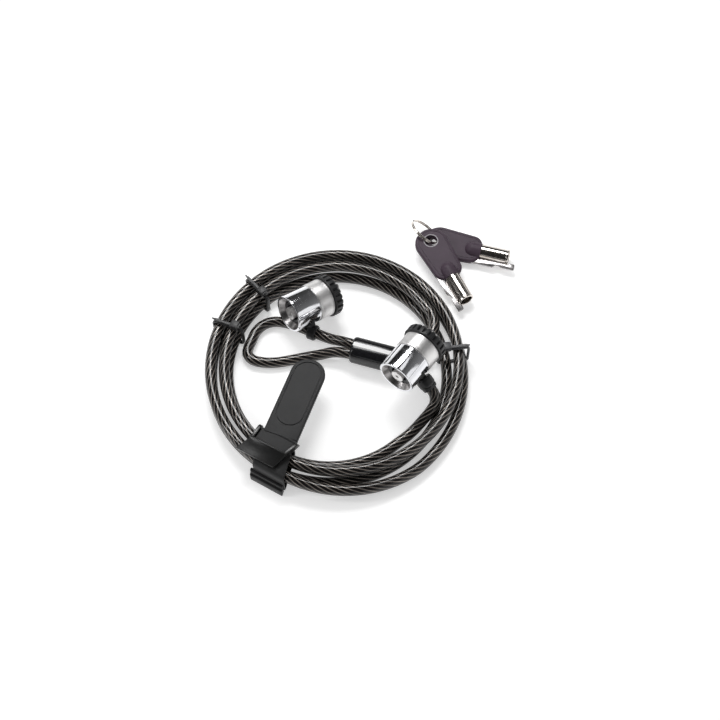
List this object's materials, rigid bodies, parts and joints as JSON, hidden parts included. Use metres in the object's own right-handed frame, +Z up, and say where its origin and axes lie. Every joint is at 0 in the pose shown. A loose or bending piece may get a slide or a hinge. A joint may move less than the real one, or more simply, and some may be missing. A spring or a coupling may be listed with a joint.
{
  "type": "laptop cable lock",
  "caption": "Coiled steel security cable with a crimped loop, two T-bar lock heads with ring keyways, tubular keys on a split ring, cable ties and a rubber storage strap.",
  "frame": {"origin": "on the desk, at the middle of the footprint of the pieces that lie on it, cable left out", "axes": "+Z up from the desk; +X to the right as pictured, along the longest side of that footprint; +Y away from the viewer, across the coil"},
  "size_m": [0.1594, 0.1622, 0.0352],
  "materials": {
    "jacket": "smoke vinyl over twisted steel wire, glossy",
    "sleeve": "black, glossy",
    "ferrule": "pressed, dull",
    "lug": "black powder coat",
    "bright_chrome": "polished",
    "satin_collar": "satin, turned",
    "grip_plastic": "black, moulded ribs",
    "spring_steel": "plain, ground",
    "pin_brass": "turned",
    "bow_plastic": "grey-purple, satin",
    "key_nickel": "nickel plated",
    "tie_nylon": "black nylon",
    "tie_grey": "grey nylon",
    "strap_rubber": "black, soft satin"
  },
  "bodies": {
    "cable_set": {"cable_coil": "jacket", "cable_lead": "jacket", "cable_tail": "jacket", "cable_loop": "jacket", "crimp_sleeve": "sleeve", "crimp_ferrule": "ferrule", "fixed_swivel": "lug", "cable_tie_1": "tie_nylon", "cable_tie_2": "tie_nylon", "cable_tie_3": "tie_grey", "strap_band": "strap_rubber", "strap_buckle": "strap_rubber"},
    "fixed_lock_body": {"fixed_barrel": "bright_chrome", "fixed_collar": "satin_collar", "fixed_grip_ring": "grip_plastic", "fixed_nose_plate": "bright_chrome", "fixed_slot_pins": "spring_steel", "fixed_pin_block": "pin_brass", "fixed_driver_pins": "spring_steel", "fixed_pin_springs": "spring_steel"},
    "fixed_lock_core": {"fixed_key_core": "bright_chrome", "fixed_retaining_clip": "spring_steel", "fixed_t_bar": "spring_steel"},
    "fixed_pin_set": {"fixed_key_pins": "pin_brass"},
    "sliding_eye": {"sliding_swivel": "lug"},
    "sliding_lock_body": {"sliding_barrel": "bright_chrome", "sliding_collar": "satin_collar", "sliding_grip_ring": "grip_plastic", "sliding_nose_plate": "bright_chrome", "sliding_slot_pins": "spring_steel", "sliding_pin_block": "pin_brass", "sliding_driver_pins": "spring_steel", "sliding_pin_springs": "spring_steel"},
    "sliding_lock_core": {"sliding_key_core": "bright_chrome", "sliding_retaining_clip": "spring_steel", "sliding_t_bar": "spring_steel"},
    "sliding_pin_set": {"sliding_key_pins": "pin_brass"},
    "tongue": {"strap_tongue": "strap_rubber"},
    "key_ring": {"split_ring": "key_nickel"},
    "key_1": {"key_1_bow": "bow_plastic", "key_1_tube": "key_nickel", "key_1_blade": "spring_steel"},
    "key_2": {"key_2_bow": "bow_plastic", "key_2_tube": "key_nickel", "key_2_blade": "spring_steel"}
  },
  "joints": [
    {"name": "fixed_lock_swivel", "type": "hinge", "parent": "cable_set", "child": "fixed_lock_body", "pos_m": [0.0204, -0.0199, 0.0241], "axis": [0.5962, 0.8028, 0], "range_deg": [-38, 38]},
    {"name": "fixed_lock_key_turn", "type": "hinge", "parent": "fixed_lock_body", "child": "fixed_lock_core", "pos_m": [0.0204, -0.0199, 0.0241], "axis": [0.5962, 0.8028, 0], "range_deg": [0, 90]},
    {"name": "fixed_lock_pins_press", "type": "slide", "parent": "fixed_lock_core", "child": "fixed_pin_set", "axis": [0.5962, 0.8028, 0], "range_m": [0, 0.0004], "stiffness_N_per_m": 100, "springref_m": -0.001},
    {"name": "sliding_lock_travel", "type": "slide", "parent": "cable_set", "child": "sliding_eye", "axis": [0.9074, -0.4188, 0.0349], "range_m": [0, 0.008]},
    {"name": "sliding_lock_swivel", "type": "hinge", "parent": "sliding_eye", "child": "sliding_lock_body", "pos_m": [-0.03128, 0.01816, 0.01606], "axis": [0.784, 0.5908, -0.1908], "range_deg": [-38, 38]},
    {"name": "sliding_lock_key_turn", "type": "hinge", "parent": "sliding_lock_body", "child": "sliding_lock_core", "pos_m": [-0.03128, 0.01816, 0.01606], "axis": [0.784, 0.5908, -0.1908], "range_deg": [0, 90]},
    {"name": "sliding_lock_pins_press", "type": "slide", "parent": "sliding_lock_core", "child": "sliding_pin_set", "axis": [0.784, 0.5908, -0.1908], "range_m": [0, 0.0004], "stiffness_N_per_m": 100, "springref_m": -0.001},
    {"name": "strap_tongue_flex", "type": "hinge", "parent": "cable_set", "child": "tongue", "pos_m": [-0.04113, -0.05551, 0.0161], "axis": [0.866, -0.5, 0], "range_deg": [-2, 60], "stiffness_Nm_per_rad": 0.05},
    {"name": "key_ring_lift", "type": "slide", "parent": "cable_set", "child": "key_ring", "axis": [0, 0, 1], "range_m": [0, 0.06]},
    {"name": "key_1_swing", "type": "hinge", "parent": "key_ring", "child": "key_1", "pos_m": [0.03476, 0.06402, 0.0079], "axis": [-0.0154, -0.0962, 0.9952], "range_deg": [-5, 10]},
    {"name": "key_2_swing", "type": "hinge", "parent": "key_ring", "child": "key_2", "pos_m": [0.03853, 0.06673, 0.00413], "axis": [-0.0647, -0.1356, 0.9886], "range_deg": [-2, 30]}
  ]
}
